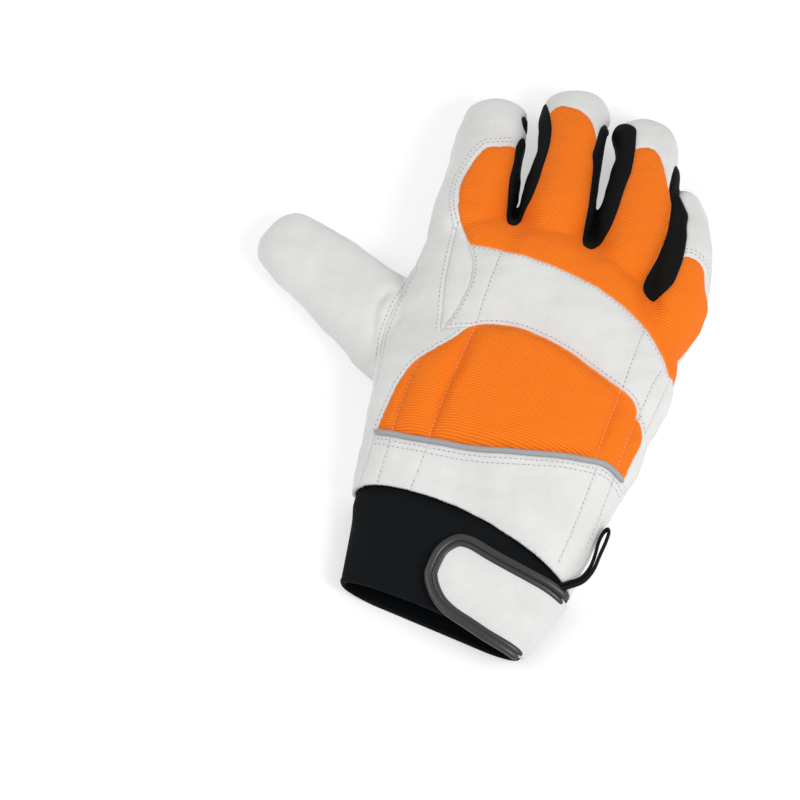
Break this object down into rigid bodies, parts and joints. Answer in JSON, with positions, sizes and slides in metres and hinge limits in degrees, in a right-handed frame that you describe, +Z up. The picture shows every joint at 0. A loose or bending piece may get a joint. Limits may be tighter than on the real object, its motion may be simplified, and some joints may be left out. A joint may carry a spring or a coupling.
{
  "type": "chainsaw glove",
  "caption": "Right-hand leather work glove lying palm down, with orange padded and ribbed back panels, leather knuckle band, black knit cuff, wrist strap tongue and hang loop.",
  "frame": {"origin": "middle of the glove's footprint, on the surface it lies on", "axes": "+X from the thumb to the little finger, +Y from the cuff to the fingertips, +Z up from the palm through the back of the hand"},
  "size_m": [0.1978, 0.2798, 0.0458],
  "materials": {
    "leather": "soft pale grey-white goat leather with fine grain",
    "orange_fabric": "orange stretch fabric with fine crosswise ribs",
    "reflective": "grey coated reflective piping",
    "fourchette": "smooth black stretch fabric",
    "knit": "fine black knit with a rolled rim",
    "dark_piping": "charcoal binding with a soft shine and a stitch groove",
    "tape": "black woven tape"
  },
  "bodies": {
    "root": {"palm_leather": "leather", "index_leather": "leather", "middle_leather": "leather", "ring_leather": "leather", "pinky_leather": "leather", "thumb_leather": "leather", "knuckle_fabric": "orange_fabric", "knuckle_band": "leather", "index_gusset": "leather", "back_pad": "orange_fabric", "reflective_piping": "reflective", "cuff_leather": "leather", "fourchette_index_middle": "fourchette", "fourchette_middle_ring": "fourchette", "fourchette_ring_pinky": "fourchette", "knit_cuff": "knit", "closure_strap": "leather", "strap_piping": "dark_piping", "hang_loop": "tape"}
  },
  "joints": []
}
